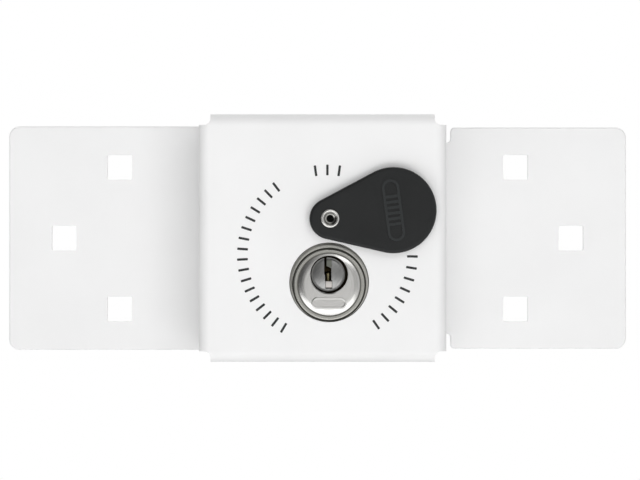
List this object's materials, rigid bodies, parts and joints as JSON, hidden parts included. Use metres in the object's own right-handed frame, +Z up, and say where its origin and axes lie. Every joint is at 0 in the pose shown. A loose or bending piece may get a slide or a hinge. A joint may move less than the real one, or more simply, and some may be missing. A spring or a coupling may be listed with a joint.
{
  "type": "van door lock",
  "caption": "Steel van door lock: folded square housing on a lock plate, keeper plate with square bolt holes, keyed rotary shackle and a swinging keyhole cover.",
  "frame": {"origin": "middle of the housing, on the lock plate's back where it lies on the door", "axes": "+Z up, +X to the right seen from outside the van, the lock's front faces -Y and the door lies at +Y"},
  "size_m": [0.2, 0.0413, 0.078],
  "materials": {
    "white_powder_coat": "smooth white powder coat, low sheen",
    "zinc_plated_steel": "bright zinc plate",
    "bright_rivet": "bright nickel plate",
    "cast_zinc": "as cast zinc alloy",
    "brass": "turned brass",
    "stainless_cap": "polished stainless steel",
    "black_cover": "fine-textured black",
    "spring_steel": "spring steel"
  },
  "bodies": {
    "lock_body": {"lock_plate": "white_powder_coat", "housing": "white_powder_coat", "keeper_plate": "white_powder_coat", "keeper_staple": "zinc_plated_steel", "disc_rear_shell": "zinc_plated_steel", "disc_front_shell": "zinc_plated_steel", "disc_core": "cast_zinc", "cylinder_body": "brass", "chamber_strip": "brass", "keyhole_cap": "stainless_cap", "cover_rivet": "bright_rivet", "cover_washer": "spring_steel", "driver_pin_1": "brass", "pin_spring_1": "spring_steel", "driver_pin_2": "brass", "pin_spring_2": "spring_steel", "driver_pin_3": "brass", "pin_spring_3": "spring_steel", "driver_pin_4": "brass", "pin_spring_4": "spring_steel", "driver_pin_5": "brass", "pin_spring_5": "spring_steel", "disc_screw_1": "zinc_plated_steel", "disc_screw_2": "zinc_plated_steel", "disc_screw_3": "zinc_plated_steel"},
    "shackle_body": {"shackle": "zinc_plated_steel"},
    "plug_body": {"plug": "brass", "plug_pinion": "zinc_plated_steel", "plug_clip": "spring_steel", "pinion_clip": "spring_steel", "key_pin_1": "brass", "key_pin_2": "brass", "key_pin_3": "brass", "key_pin_4": "brass", "key_pin_5": "brass"},
    "cover_body": {"keyhole_cover": "black_cover"}
  },
  "joints": [
    {"name": "shackle_turn", "type": "hinge", "parent": "lock_body", "child": "shackle_body", "pos_m": [0.00175, -0.01, 0], "axis": [0, 1, 0], "range_deg": [0, 55]},
    {"name": "plug_turn", "type": "hinge", "parent": "lock_body", "child": "plug_body", "pos_m": [0.00175, -0.025, -0.0114], "axis": [0, 1, 0], "range_deg": [0, 165]},
    {"name": "cover_swing", "type": "hinge", "parent": "lock_body", "child": "cover_body", "pos_m": [0.00236, -0.039, 0.0061], "axis": [0, 1, 0], "continuous": true}
  ],
  "couplings": [
    {"joint": "plug_turn", "follows": "shackle_turn", "ratio": 3}
  ]
}
